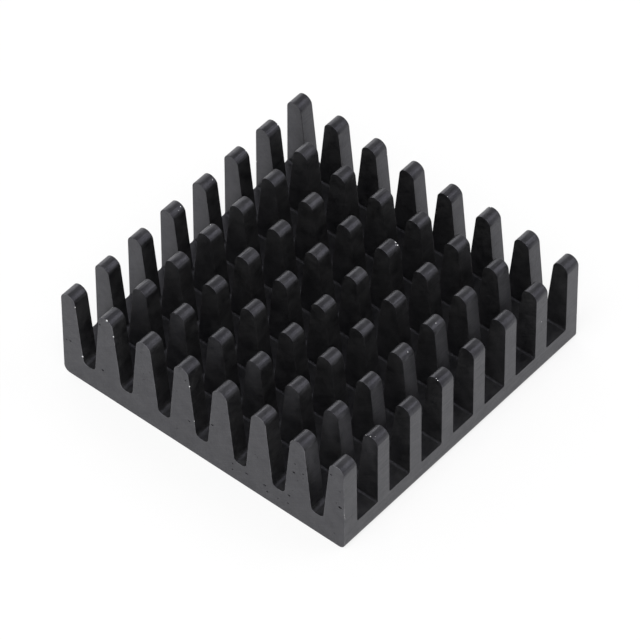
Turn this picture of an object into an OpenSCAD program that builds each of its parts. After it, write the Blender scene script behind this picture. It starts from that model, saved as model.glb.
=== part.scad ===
// Pin fin heat sink: one bar of extruded aluminium with upright fins, sawn to
// length and then cut across, so that each fin becomes a row of separate pins.
// X runs across the fins, Y along the extrusion, +Z up; z = 0 is the underside.

/* [Overall] */
// width across the fins, over the two long sides of the plate
base_width = 40; // [38:0.5:60]
// length between the two sawn ends
base_length = 39.5; // [38:0.5:60]
// height from the underside to the tips of the pins
overall_height = 12.7; // [10:0.1:14]
// plate thickness under the channels between the fins
base_thickness = 3; // [2.5:0.1:4]
// radius of the two long edges under the plate, left by the die
bottom_edge_radius = 0.85; // [0.3:0.05:1.2]

/* [Fins] */
// fins across the width of the extrusion
fin_count = 8; // [5:1:8]
// radius of the full round along the tip of each fin
tip_radius = 1.02; // [0.7:0.02:1.1]
// lean of each fin's sides from upright, in degrees
fin_draft = 5.7; // [3:0.1:6]
// lean of the two outermost sides, in degrees
outer_draft = 0.4; // [0.1:0.1:1]
// fillet between a fin's side and the channel floor
root_radius = 0.6; // [0.2:0.05:0.65]

/* [Cross cuts] */
// cuts across the fins, one fewer than the rows of pins
cut_count = 7; // [3:1:7]
// width of each cut
cut_width = 3.42; // [2.6:0.02:3.8]
// height of the cut floor, a little deeper than the channels
cut_floor_height = 2.87; // [2.4:0.01:3.6]
// radius in the two lower corners of each cut
cut_corner_radius = 0.25; // [0.1:0.05:0.6]
// length of the pins in the row at the front end, which is sawn a little long
front_row_length = 2.1; // [1.4:0.05:2.6]

/* [Hidden] */

// smoothness of the arcs: largest step in degrees, smallest in millimetres
$fa = 6;
$fs = 0.05;
// the depth that a round bites into a straight side, so that the two always cross
bite = 0.002;
// how far a cutter runs on beyond the faces that it goes through
overrun = 1;

// centre of the round along each long bottom edge, and of the rounds at the tips
bottom_round_x = base_width / 2 - bottom_edge_radius;
tip_centre_z = overall_height - tip_radius;
// the outermost side is the common tangent of its bottom round and its tip round
outer_tip_x = bottom_round_x
    + (bottom_edge_radius - tip_radius) / cos(outer_draft)
    - (tip_centre_z - bottom_edge_radius) * tan(outer_draft);
fin_pitch = 2 * outer_tip_x / (fin_count - 1);

// half the channel width at height z, between two leaning fin sides
function channel_half(z) = fin_pitch / 2
    - tip_radius / cos(fin_draft)
    - (tip_centre_z - z) * tan(fin_draft);

// centre of a root fillet, and the point where it meets the fin side
fillet_z = base_thickness + root_radius;
fillet_x = channel_half(fillet_z) - root_radius / cos(fin_draft);
fillet_top_z = fillet_z - root_radius * sin(fin_draft);
fillet_top_x = channel_half(fillet_top_z);

// the rows behind the front one share what the cuts leave of the length
pin_length = (base_length - front_row_length - cut_count * cut_width) / cut_count;
cut_pitch = cut_width + pin_length;
first_cut_y = -base_length / 2 + front_row_length + cut_width / 2;

function fin_x(i) = -outer_tip_x + i * fin_pitch;
function channel_x(i) = fin_x(i) + fin_pitch / 2;

// point on a round at an angle, sunk a hair inside it
function on_round(centre, radius, angle) =
    centre + (radius - bite) * [cos(angle), sin(angle)];

// where the two sides of fin i run into its tip round, right side first
function tip_points(i) = [
    on_round([fin_x(i), tip_centre_z], tip_radius,
        i == fin_count - 1 ? outer_draft : fin_draft),
    on_round([fin_x(i), tip_centre_z], tip_radius,
        180 - (i == 0 ? outer_draft : fin_draft))
];

// foot of channel i with its corners cut off straight, right side first
function channel_points(i) = [
    [channel_x(i) + fillet_top_x, fillet_top_z],
    [channel_x(i) + fillet_x, base_thickness],
    [channel_x(i) - fillet_x, base_thickness],
    [channel_x(i) - fillet_top_x, fillet_top_z]
];

// section of the die: straight sides first, then the rounds and fillets
module extruded_section() {
    difference() {
        union() {
            polygon([
                [-bottom_round_x, 0],
                [bottom_round_x, 0],
                on_round([bottom_round_x, bottom_edge_radius],
                    bottom_edge_radius, outer_draft),
                each tip_points(fin_count - 1),
                for (i = [fin_count - 2 : -1 : 0])
                    each concat(channel_points(i), tip_points(i)),
                on_round([-bottom_round_x, bottom_edge_radius],
                    bottom_edge_radius, 180 - outer_draft)
            ]);
            for (side = [-1, 1])
                translate([side * bottom_round_x, bottom_edge_radius])
                    circle(r = bottom_edge_radius);
            for (i = [0 : fin_count - 1])
                translate([fin_x(i), tip_centre_z]) circle(r = tip_radius);
        }
        for (i = [0 : fin_count - 2], side = [-1, 1])
            translate([channel_x(i) + side * fillet_x, fillet_z])
                circle(r = root_radius + bite);
    }
}

// outline of one cross cut: parallel sides, flat floor, small corner radii
module cut_section() {
    side_y = cut_width / 2;
    corner_y = side_y - cut_corner_radius;
    corner_z = cut_floor_height + cut_corner_radius;
    polygon([
        [-corner_y, cut_floor_height],
        [corner_y, cut_floor_height],
        [side_y, corner_z],
        [side_y, overall_height + overrun],
        [-side_y, overall_height + overrun],
        [-side_y, corner_z]
    ]);
    for (side = [-1, 1])
        translate([side * corner_y, corner_z]) circle(r = cut_corner_radius + bite);
}

// the extruded bar with its fins cut across into rows of pins
module heat_sink() {
    color([0.12, 0.12, 0.13])
        difference() {
            rotate([90, 0, 0])
                linear_extrude(height = base_length, center = true)
                    extruded_section();
            for (i = [0 : cut_count - 1])
                translate([0, first_cut_y + i * cut_pitch, 0])
                    rotate([90, 0, 90])
                        linear_extrude(height = base_width + 2 * overrun, center = true)
                            cut_section();
        }
}

heat_sink();
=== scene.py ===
import math
import random

import bmesh
import bpy
from mathutils import Matrix, Vector


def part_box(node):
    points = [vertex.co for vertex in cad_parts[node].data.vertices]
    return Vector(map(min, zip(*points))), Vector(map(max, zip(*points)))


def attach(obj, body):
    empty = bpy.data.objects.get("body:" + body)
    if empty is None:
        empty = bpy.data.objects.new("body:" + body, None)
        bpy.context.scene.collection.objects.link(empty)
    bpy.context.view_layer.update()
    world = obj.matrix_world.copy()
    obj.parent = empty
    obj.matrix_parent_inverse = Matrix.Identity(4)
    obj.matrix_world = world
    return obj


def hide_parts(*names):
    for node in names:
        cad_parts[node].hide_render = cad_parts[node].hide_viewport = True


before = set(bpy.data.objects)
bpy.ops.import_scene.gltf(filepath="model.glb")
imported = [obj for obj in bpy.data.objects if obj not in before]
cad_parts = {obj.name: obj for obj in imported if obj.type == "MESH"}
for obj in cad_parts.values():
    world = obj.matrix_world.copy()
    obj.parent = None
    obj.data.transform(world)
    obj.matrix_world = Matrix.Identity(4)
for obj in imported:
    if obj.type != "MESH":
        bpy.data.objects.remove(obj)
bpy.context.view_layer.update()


# Camera: a long lens well above the front corner of the heat sink. It stands
# 617 mm off, turned 40.5 degrees to the right of the sawn front, and looks down
# at 48 degrees, so that the rows of pins run nearly parallel in view.

aim_height = 0.004
camera_turn = math.radians(40.509)
camera_tilt = math.radians(90.0 - 47.939)
camera_roll = math.radians(-0.3975)
off_centre = (-0.0000757, 0.0009777)
stand_off = 0.61686
camera_data = bpy.data.cameras.new("camera")
camera_data.sensor_width = 36.0
camera_data.lens = 318.3
camera = bpy.data.objects.new("camera", camera_data)
bpy.context.scene.collection.objects.link(camera)
camera.matrix_world = (
    Matrix.Translation((0.0, 0.0, aim_height))
    @ Matrix.Rotation(camera_turn, 4, "Z")
    @ Matrix.Rotation(camera_tilt, 4, "X")
    @ Matrix.Rotation(camera_roll, 4, "Z")
    @ Matrix.Translation((*off_centre, stand_off))
)
bpy.context.scene.camera = camera


# Extruded bar: aluminium pressed through a die, so one comb outline runs the
# whole length along Y. Eight tapered fins with full round tips stand on a flat
# base. It is drawn in millimetres and brought to metres when it is finished.

MM = 0.001
bar_low, bar_high = (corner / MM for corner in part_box("heat_sink"))
base_thickness = 3.0
fin_count = 8
tip_radius = 1.02
fin_draft = math.radians(5.7)
outer_draft = math.radians(0.4)
root_radius = 0.6
bottom_radius = 0.85
tip_centre = bar_high.z - tip_radius


def corner_run(radius, turn):
    """How far a round of this radius reaches along each side of a corner."""
    return radius * math.tan(turn / 2)


def flank_reach(draft, level):
    """Distance from a fin's middle to its flank, at this height."""
    return tip_radius / math.cos(draft) + (tip_centre - level) * math.tan(draft)


bottom_corner = bar_high.x - bottom_radius + bottom_radius * (
    1 / math.cos(outer_draft) + math.tan(outer_draft)
)
outer_fin = bottom_corner - flank_reach(outer_draft, 0.0)
fin_pitch = 2 * outer_fin / (fin_count - 1)
fin_places = [-outer_fin + fin * fin_pitch for fin in range(fin_count)]

bar = bmesh.new()
outline = [bar.verts.new((-bottom_corner, bar_low.y, 0.0))]
tip_corners, outer_tip_corners, root_corners = [], [], []
for fin, place in enumerate(fin_places):
    for side in (-1, 1):
        outer = fin == (0 if side < 0 else fin_count - 1)
        draft = outer_draft if outer else fin_draft
        levels = [bar_high.z] if outer else [base_thickness, bar_high.z]
        for level in levels[::-side]:
            flank = place + side * flank_reach(draft, level)
            outline.append(bar.verts.new((flank, bar_low.y, level)))
            if level == base_thickness:
                root_corners.append(outline[-1])
            else:
                (outer_tip_corners if outer else tip_corners).append(outline[-1])
outline.append(bar.verts.new((bottom_corner, bar_low.y, 0.0)))
bar.faces.new(outline)

quarter = math.radians(90)
short_of_meeting = 0.999
rounds = [
    (tip_corners, corner_run(tip_radius, quarter - fin_draft) * short_of_meeting, 12),
    (outer_tip_corners, corner_run(tip_radius, quarter - outer_draft) * short_of_meeting, 12),
    (root_corners, corner_run(root_radius, quarter - fin_draft), 8),
    ([outline[0], outline[-1]], corner_run(bottom_radius, quarter + outer_draft), 10),
]
for corners, run, steps in rounds:
    bmesh.ops.bevel(
        bar, geom=corners, offset=run, offset_type="OFFSET", segments=steps,
        profile=0.5, affect="VERTICES", clamp_overlap=False, material=-1,
    )
pressed = bmesh.ops.extrude_face_region(bar, geom=bar.faces[:])
bmesh.ops.translate(
    bar, vec=(0.0, bar_high.y - bar_low.y, 0.0),
    verts=[v for v in pressed["geom"] if isinstance(v, bmesh.types.BMVert)],
)
bmesh.ops.recalc_face_normals(bar, faces=bar.faces)

heat_sink = bpy.data.objects.new("heat_sink_body", bpy.data.meshes.new("heat_sink_body"))
bpy.context.scene.collection.objects.link(heat_sink)
bar.to_mesh(heat_sink.data)
bar.free()


# Cross cuts: a gang of seven saw blades crosses the bar along X and leaves
# eight rows of pins. The blades run a little below the floor of the channels
# and their worn corners leave a small round at the foot of each wall.

cut_count = 7
cut_width = 3.42
cut_floor = 2.87
cut_corner = 0.25
front_row = 2.1
pin_length = (bar_high.y - bar_low.y - front_row - cut_count * cut_width) / cut_count
cut_pitch = cut_width + pin_length
first_cut = bar_low.y + front_row + cut_width / 2


def take_away(cutter, cut_finish=None):
    """Cut the shapes in this bmesh out of the heat sink, and put them away."""
    tool = bpy.data.objects.new("cutter", bpy.data.meshes.new("cutter"))
    if cut_finish:
        tool.data.materials.append(cut_finish)
    bpy.context.scene.collection.objects.link(tool)
    cutter.to_mesh(tool.data)
    cutter.free()
    cut = heat_sink.modifiers.new("cut", "BOOLEAN")
    cut.operation = "DIFFERENCE"
    cut.solver = "EXACT"
    cut.material_mode = "TRANSFER" if cut_finish else "INDEX"
    cut.object = tool
    seen = heat_sink.evaluated_get(bpy.context.evaluated_depsgraph_get())
    cut_mesh = bpy.data.meshes.new_from_object(seen)
    heat_sink.modifiers.clear()
    spent = [heat_sink.data, tool.data]
    heat_sink.data = cut_mesh
    bpy.data.objects.remove(tool)
    for mesh in spent:
        bpy.data.meshes.remove(mesh)


blades = bmesh.new()
blade_height = 14.0
blade_span = 3 * bar_high.x
for cut in range(cut_count):
    blade_middle = (0.0, first_cut + cut * cut_pitch, cut_floor + blade_height / 2)
    bmesh.ops.create_cube(
        blades, size=1.0,
        matrix=Matrix.Translation(blade_middle)
        @ Matrix.Diagonal((blade_span, cut_width, blade_height, 1.0)),
    )
same_place = 0.01
blade_corners = [
    edge for edge in blades.edges
    if all(abs(v.co.z - cut_floor) < same_place for v in edge.verts)
    and abs(edge.verts[0].co.y - edge.verts[1].co.y) < same_place
]
bmesh.ops.bevel(
    blades, geom=blade_corners, offset=cut_corner, offset_type="OFFSET", segments=5,
    profile=0.5, affect="EDGES", clamp_overlap=False, material=-1,
)
take_away(blades)


# Edge break: tumbling and the etch before anodising take the bite off every
# sawn edge, so each has a hair-fine round that catches the light. Round the two
# sawn ends, handling has rubbed it lighter, and it takes the second finish.

edge_break = 0.04
weld = 0.002
body = bmesh.new()
body.from_mesh(heat_sink.data)
bmesh.ops.remove_doubles(body, verts=body.verts, dist=weld)
bmesh.ops.dissolve_limit(
    body, angle_limit=math.radians(0.5), verts=body.verts, edges=body.edges,
    use_dissolve_boundaries=False,
)
root_top = base_thickness + root_radius
sharp_turn = math.radians(40)
shortest_side = 1.0


def takes_break(edge):
    """Sharp edges of the two ends, of the pins and of the base's long sides."""
    on_end = all(abs(vert.co.y) > bar_high.y - same_place for vert in edge.verts)
    above_roots = min(vert.co.z for vert in edge.verts) > root_top
    return edge.calc_face_angle() > sharp_turn and (
        on_end or above_roots or edge.calc_length() > shortest_side
    )


plain_slot, rubbed_slot = 0, 1
bmesh.ops.bevel(
    body, geom=[edge for edge in body.edges if takes_break(edge)],
    offset=edge_break, offset_type="OFFSET", segments=3,
    profile=0.5, affect="EDGES", clamp_overlap=False, material=rubbed_slot,
)
rubbed_depth = 0.2
for face in body.faces:
    if abs(face.calc_center_median().y) < bar_high.y - rubbed_depth:
        face.material_index = plain_slot
bmesh.ops.remove_doubles(body, verts=body.verts, dist=weld)
heat_sink.data.materials.clear()
body.to_mesh(heat_sink.data)
body.free()


# Finish: satin black anodising, a dyed glassy layer grown on the aluminium. It
# follows the metal below, so it shows fine lines from the die along the fins,
# saw marks on the two ends and in the cuts, a fine etch, and uneven dye.

finish = bpy.data.materials.new("black_anodised_satin")
finish.use_nodes = True
nodes, links = finish.node_tree.nodes, finish.node_tree.links
shader = nodes["Principled BSDF"]
shader.inputs["IOR"].default_value = 1.49
shader.inputs["Specular Tint"].default_value = (0.84, 0.83, 1.0, 1.0)
spot = nodes.new("ShaderNodeTexCoord")


def drawn_noise(grain, detail, turn=0.0):
    """Noise whose grain has this size along X, Y and Z in metres, turned about Y."""
    laid = nodes.new("ShaderNodeMapping")
    laid.vector_type = "TEXTURE"
    laid.inputs["Rotation"].default_value = (0.0, math.radians(turn), 0.0)
    laid.inputs["Scale"].default_value = grain
    links.new(spot.outputs["Object"], laid.inputs["Vector"])
    noise_node = nodes.new("ShaderNodeTexNoise")
    noise_node.inputs["Scale"].default_value = 1.0
    noise_node.inputs["Detail"].default_value = detail
    links.new(laid.outputs["Vector"], noise_node.inputs["Vector"])
    return noise_node.outputs["Fac"]


def worked(operation, *feeds):
    """A Math node fed by sockets or by numbers."""
    step = nodes.new("ShaderNodeMath")
    step.operation = operation
    for socket, feed in zip(step.inputs, feeds):
        if isinstance(feed, (int, float)):
            socket.default_value = feed
        else:
            links.new(feed, socket)
    return step.outputs[0]


def ranged(feed, low, high, to_low, to_high):
    """Bring a value from one range to another."""
    step = nodes.new("ShaderNodeMapRange")
    for socket, value in zip(step.inputs[1:5], (low, high, to_low, to_high)):
        socket.default_value = value
    links.new(feed, step.inputs[0])
    return step.outputs[0]


# Where the marks lie: the saw's on the two ends and on the bed of each cut, the
# die's on all else, and strongest on the round tips.
facing = nodes.new("ShaderNodeSeparateXYZ")
links.new(spot.outputs["Normal"], facing.inputs[0])
position = nodes.new("ShaderNodeSeparateXYZ")
links.new(spot.outputs["Object"], position.inputs[0])
above_bed, on_bed = 0.00297, 0.00292
sawn_end = ranged(worked("ABSOLUTE", facing.outputs["Y"]), 0.75, 0.95, 0.0, 1.0)
cut_bed = worked(
    "MULTIPLY",
    ranged(position.outputs["Z"], above_bed, on_bed, 0.0, 1.0),
    ranged(facing.outputs["Z"], 0.8, 0.95, 0.0, 1.0),
)
sawn = worked("MAXIMUM", sawn_end, cut_bed)
flank_lines, tip_lines = 0.55, 1.3
upward = ranged(facing.outputs["Z"], 0.1, 0.5, flank_lines, tip_lines)

# The marks, and how deep each of them is beside the die lines.
saw_slant = -38.0
etch = drawn_noise((0.00016, 0.0002, 0.00016), 2.0)
die_lines = drawn_noise((0.00028, 0.009, 0.00028), 3.0)
saw_marks = drawn_noise((0.004, 0.0003, 0.00014), 2.0, saw_slant)
bed_marks = drawn_noise((0.01, 0.00014, 0.0003), 2.0)
saw_depth, bed_depth, etch_depth = 0.3, 0.4, 0.5
die_cover = worked("MULTIPLY", upward, worked("SUBTRACT", 1.0, sawn))
relief = worked("MULTIPLY", die_lines, die_cover)
relief = worked("MULTIPLY_ADD", saw_marks, worked("MULTIPLY", sawn_end, saw_depth), relief)
relief = worked("MULTIPLY_ADD", bed_marks, worked("MULTIPLY", cut_bed, bed_depth), relief)
relief = worked("MULTIPLY_ADD", etch, etch_depth, relief)
bump = nodes.new("ShaderNodeBump")
bump.inputs["Strength"].default_value = 1.0
bump.inputs["Distance"].default_value = 0.00004
links.new(relief, bump.inputs["Height"])
links.new(bump.outputs["Normal"], shader.inputs["Normal"])

# Patches where the layer is smoother or rougher, and where it took more dye.
smoothest, roughest = 0.30, 0.38
cloud = drawn_noise((0.0011, 0.0016, 0.0011), 4.0)
links.new(ranged(cloud, 0.3, 0.7, smoothest, roughest), shader.inputs["Roughness"])
broad_stain, fine_stain, scratch_stain = 0.7, 0.6, 0.35
stain = worked(
    "MULTIPLY_ADD", drawn_noise((0.0018, 0.0025, 0.0018), 2.0), broad_stain,
    worked("MULTIPLY", drawn_noise((0.0004, 0.0006, 0.0005), 4.0), fine_stain),
)
scratches = worked("MULTIPLY", worked("SUBTRACT", saw_marks, 0.5), sawn_end)
stain = worked("MULTIPLY_ADD", scratches, scratch_stain, stain)
dye = nodes.new("ShaderNodeMix")
dye.data_type = "RGBA"
dye.inputs["A"].default_value = (0.006, 0.006, 0.0063, 1.0)
dye.inputs["B"].default_value = (0.024, 0.024, 0.0245, 1.0)
links.new(ranged(stain, 0.45, 0.85, 0.0, 1.0), dye.inputs["Factor"])
links.new(dye.outputs["Result"], shader.inputs["Base Color"])

rubbed = finish.copy()
rubbed.name = "rubbed_edge"
worn_dye = rubbed.node_tree.nodes[dye.name]
worn_dye.inputs["A"].default_value = (0.014, 0.014, 0.0143, 1.0)
worn_dye.inputs["B"].default_value = (0.12, 0.12, 0.124, 1.0)
heat_sink.data.materials.append(finish)
heat_sink.data.materials.append(rubbed)


# Handling wear: bright chips where an edge or a tip has been knocked through
# the black layer to bare aluminium. Each is a small ragged bite out of the
# metal, at a set place on one pin.

random.seed(11)
bare_metal = bpy.data.materials.new("bare_aluminium")
bare_metal.use_nodes = True
bare_shader = bare_metal.node_tree.nodes["Principled BSDF"]
bare_shader.inputs["Base Color"].default_value = (0.86, 0.86, 0.87, 1.0)
bare_shader.inputs["Metallic"].default_value = 1.0
bare_shader.inputs["Roughness"].default_value = 0.4


def rim_point(fin, row, end, side, level, inset):
    """A place on the edge of a pin: on its round tip, or lower on its flank."""
    if level > tip_centre:
        reach = math.sqrt(max(tip_radius**2 - (level - tip_centre) ** 2, 0.0))
    else:
        outer = fin in (0, fin_count - 1) and (side > 0) == (fin > 0)
        reach = flank_reach(outer_draft if outer else fin_draft, level)
    row_start = bar_low.y if row == 0 else first_cut + cut_width / 2 + (row - 1) * cut_pitch
    row_end = row_start + (front_row if row == 0 else pin_length)
    along = row_start + inset if end < 0 else row_end - inset
    return Vector((fin_places[fin] + side * reach, along, level))


def ragged_bite(cutter, place, size, spread, jitter, turn=0.0):
    """Add one rough pebble to a cutter, stretched by spread and turned about X."""
    pebble = bmesh.ops.create_icosphere(
        cutter, subdivisions=2, radius=size, matrix=Matrix.Diagonal((*spread, 1.0))
    )
    turned = Matrix.Rotation(turn, 3, "X")
    for vert in pebble["verts"]:
        push = 1 + jitter * random.uniform(-1, 1)
        vert.co = place + (turned @ vert.co) * push


# Fin, row, end of the row (-1 is the front one), side of the fin, height, step
# in from that end, and size.
chips = [
    (1, 0, -1, 1, 12.67, 0.0, 0.15),
    (1, 0, -1, 1, 10.7, 0.0, 0.12),
    (0, 0, -1, 1, 4.1, 0.0, 0.14),
    (0, 0, -1, 1, 11.5, 0.0, 0.09),
    (3, 0, -1, 1, 10.5, 0.0, 0.1),
    (3, 0, -1, 1, 5.3, 0.0, 0.07),
    (5, 0, -1, -1, 4.3, 0.0, 0.16),
    (6, 0, -1, -1, 4.6, 0.0, 0.07),
    (7, 0, -1, 1, 5.7, 0.0, 0.05),
    (7, 0, -1, 1, 5.3, 0.05, 0.045),
    (7, 0, -1, 1, 5.0, 0.12, 0.05),
    (7, 1, -1, -1, 12.5, 0.03, 0.06),
    (7, 1, -1, 1, 12.87, 0.03, 0.055),
    (7, 1, -1, 1, 12.7, 0.03, 0.065),
    (7, 3, -1, 1, 12.85, 0.03, 0.065),
    (7, 3, -1, 1, 12.62, 0.03, 0.055),
    (4, 5, 1, 1, 12.62, 0.05, 0.11),
    (4, 5, 1, 1, 12.5, 0.3, 0.06),
    (4, 5, 1, 1, 12.4, 0.1, 0.07),
    (6, 4, -1, 1, 12.6, 0.9, 0.05),
    (6, 4, -1, 1, 12.75, 0.6, 0.04),
    (6, 3, 1, 1, 12.45, 0.7, 0.05),
    (7, 6, -1, 1, 8.0, 0.95, 0.05),
    (0, 4, 1, 1, 12.52, 0.34, 0.05),
    (0, 5, 1, 1, 12.55, 0.05, 0.08),
    (0, 6, 1, 1, 12.5, 0.05, 0.1),
    (0, 4, 1, -1, 12.2, 0.0, 0.1),
    (2, 7, 1, 1, 11.0, 0.0, 0.12),
    (5, 7, 1, -1, 12.6, 0.0, 0.13),
    (0, 6, -1, -1, 7.0, 0.0, 0.08),
    (0, 3, 1, 1, 12.53, 0.3, 0.055),
    (0, 3, 1, 1, 12.41, 0.8, 0.04),
    (4, 7, -1, 1, 12.62, 0.04, 0.05),
    (7, 1, -1, 1, 12.63, 0.42, 0.04),
    (1, 3, 1, -1, 12.5, 0.22, 0.045),
    (1, 0, 1, -1, 12.34, 0.05, 0.045),
    (1, 0, -1, -1, 12.47, 0.12, 0.05),
    (7, 3, -1, 1, 12.69, 0.13, 0.045),
]
chip_spread, chip_jitter = (1.0, 0.8, 0.8), 0.3
chip_cutter = bmesh.new()
for fin, row, end, side, level, inset, size in chips:
    middle = rim_point(fin, row, end, side, level, inset)
    any_turn = random.uniform(0, math.tau)
    ragged_bite(chip_cutter, middle, size, chip_spread, chip_jitter, any_turn)


# Pits: the sawn ends open small pores in the metal, and the etch makes them
# deeper, so they look like black specks. The largest are listed one by one on the
# front end, and fine ones are strewn over both sawn ends.

# Fin, step along X from its middle, height, and size.
pores = [
    (0, 0.05, 5.4, 0.1), (1, -0.7, 4.0, 0.11), (1, -0.8, 11.3, 0.09), (3, 0.95, 4.8, 0.1),
    (3, 0.6, 11.1, 0.08), (4, -1.15, 6.6, 0.11), (4, 1.6, 1.4, 0.08), (5, -1.8, 2.2, 0.11),
    (5, 0.75, 2.2, 0.12), (5, 1.1, 1.4, 0.1), (5, 2.6, 1.4, 0.07), (6, -1.4, 1.7, 0.1),
    (6, -1.2, 3.1, 0.12), (6, -0.5, 7.4, 0.12), (6, -0.35, 8.9, 0.07), (6, 0.8, 8.1, 0.08),
    (7, -0.75, 10.9, 0.1), (7, 0.5, 6.5, 0.16), (4, 1.62, 2.36, 0.09), (0, -0.53, 5.24, 0.07),
]
etched_out = 1.2
pit_spread, pit_jitter = (1.35, 1.6, 0.8), 0.12
apart = 2.2
pit_cutter = bmesh.new()
random.seed(7)
pitted = []


def open_pit(place, size):
    """Open a pore, a little wider than high, unless it would run into another."""
    if all((place - other).length > apart * (size + other_size) for other, other_size in pitted):
        ragged_bite(pit_cutter, place, size, pit_spread, pit_jitter)
        pitted.append((place, size))


for fin, step, level, size in pores:
    open_pit(Vector((fin_places[fin] + step, bar_low.y, level)), etched_out * size)

specks_per_end = 34
lowest_speck, highest_speck = 0.7, 11.8
speck_margin, speck_gather = 0.35, 0.9
finest_speck, front_speck, back_speck = 0.03, 0.065, 0.12
for end in (bar_low.y, bar_high.y):
    for speck in range(specks_per_end):
        fin = random.randrange(fin_count)
        level = random.uniform(lowest_speck, highest_speck)
        reach = flank_reach(fin_draft, level) - speck_margin
        step = random.uniform(-reach, reach)
        size = random.uniform(finest_speck, front_speck if end < 0 else back_speck)
        open_pit(Vector((fin_places[fin] + speck_gather * step, end, level)), size)

take_away(pit_cutter, finish)
take_away(chip_cutter, bare_metal)


# Finished body: one piece of metal that stands for the whole part. It is brought
# to metres and shaded smooth, with its flat faces kept flat beside the rounds.

heat_sink.data.transform(Matrix.Scale(MM, 4))
heat_sink.data.shade_smooth()
heat_sink.data.set_sharp_from_angle(angle=math.radians(32))
even = heat_sink.modifiers.new("even", "WEIGHTED_NORMAL")
even.keep_sharp = True
even.weight = 100

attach(heat_sink, "root")
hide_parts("heat_sink")


# Floor: a sheet of white card, a hair below the base. It looks and mirrors mostly
# plain white, and the rest of it is lit card, which keeps the soft shadow. It is
# clear from underneath, so that the bottom of the heat sink can be looked at too.

card_gap = 0.00002
card = bmesh.new()
bmesh.ops.create_grid(
    card, x_segments=1, y_segments=1, size=3.0, matrix=Matrix.Translation((0.0, 0.0, -card_gap))
)
floor = bpy.data.objects.new("floor", bpy.data.meshes.new("floor"))
bpy.context.scene.collection.objects.link(floor)
card.to_mesh(floor.data)
card.free()
white_card = bpy.data.materials.new("white_card")
white_card.use_nodes = True
nodes, links = white_card.node_tree.nodes, white_card.node_tree.links
card_shader = nodes["Principled BSDF"]
card_shader.inputs["Base Color"].default_value = (0.88, 0.88, 0.88, 1.0)
card_shader.inputs["Roughness"].default_value = 0.9
card_shader.inputs["Specular IOR Level"].default_value = 0.0
plain_white = nodes.new("ShaderNodeEmission")
plain_white.inputs["Strength"].default_value = 1.0
path = nodes.new("ShaderNodeLightPath")
white_if_seen, white_if_mirrored = 0.8, 0.5
mirrored = worked("MULTIPLY", path.outputs["Is Glossy Ray"], white_if_mirrored)
white_share = worked("MULTIPLY_ADD", path.outputs["Is Camera Ray"], white_if_seen, mirrored)
card_mix = nodes.new("ShaderNodeMixShader")
links.new(white_share, card_mix.inputs[0])
links.new(card_shader.outputs[0], card_mix.inputs[1])
links.new(plain_white.outputs[0], card_mix.inputs[2])
underneath = nodes.new("ShaderNodeNewGeometry")
clear = nodes.new("ShaderNodeBsdfTransparent")
side_mix = nodes.new("ShaderNodeMixShader")
links.new(underneath.outputs["Backfacing"], side_mix.inputs[0])
links.new(card_mix.outputs[0], side_mix.inputs[1])
links.new(clear.outputs[0], side_mix.inputs[2])
links.new(side_mix.outputs[0], nodes["Material Output"].inputs["Surface"])
floor.data.materials.append(white_card)


# Studio light: a pale sweep all round that is brightest low down and dim
# overhead, a broad soft box high in front for the key, one behind on the right
# for the second light band on the round tips, and a low one behind on the left.

world = bpy.data.worlds.new("studio")
bpy.context.scene.world = world
world.use_nodes = True
nodes, links = world.node_tree.nodes, world.node_tree.links
direction = nodes.new("ShaderNodeTexCoord")
split = nodes.new("ShaderNodeSeparateXYZ")
links.new(direction.outputs["Generated"], split.inputs[0])
sweep = nodes.new("ShaderNodeValToRGB")
sweep.color_ramp.interpolation = "LINEAR"
stops = [(0.0, 0.955), (0.2, 0.663), (0.45, 0.70), (0.7, 0.61), (1.0, 0.34)]
for upwards, bright in stops[1:-1]:
    sweep.color_ramp.elements.new(upwards)
for stop, (upwards, bright) in zip(sweep.color_ramp.elements, stops):
    stop.position = upwards
    stop.color = (bright, bright, bright, 1.0)
links.new(split.outputs["Z"], sweep.inputs[0])
camera_ray = nodes.new("ShaderNodeLightPath")
backdrop = nodes.new("ShaderNodeMix")
backdrop.data_type = "RGBA"
links.new(camera_ray.outputs["Is Camera Ray"], backdrop.inputs["Factor"])
links.new(sweep.outputs["Color"], backdrop.inputs["A"])
backdrop.inputs["B"].default_value = (1.0, 1.0, 1.0, 1.0)
links.new(backdrop.outputs["Result"], nodes["Background"].inputs["Color"])

box_distance = 0.6


def soft_box(name, azimuth, height, size, bright):
    """A square area lamp that looks at the heat sink, placed by angles in degrees."""
    lamp_data = bpy.data.lights.new(name, "AREA")
    lamp_data.shape = "SQUARE"
    lamp_data.size = size
    lamp_data.energy = bright * math.pi * size**2
    lamp = bpy.data.objects.new(name, lamp_data)
    bpy.context.scene.collection.objects.link(lamp)
    lamp.visible_camera = False
    turn = Matrix.Rotation(math.radians(azimuth + 90), 4, "Z") @ Matrix.Rotation(
        math.radians(90 - height), 4, "X"
    )
    lamp.matrix_world = turn @ Matrix.Translation((0.0, 0.0, box_distance))


soft_box("key_box", azimuth=289, height=61, size=0.42, bright=4.4)
soft_box("side_box", azimuth=45, height=44, size=0.31, bright=2.0)
soft_box("rear_box", azimuth=158, height=20, size=0.38, bright=1.45)

bpy.context.scene.view_settings.view_transform = "Standard"
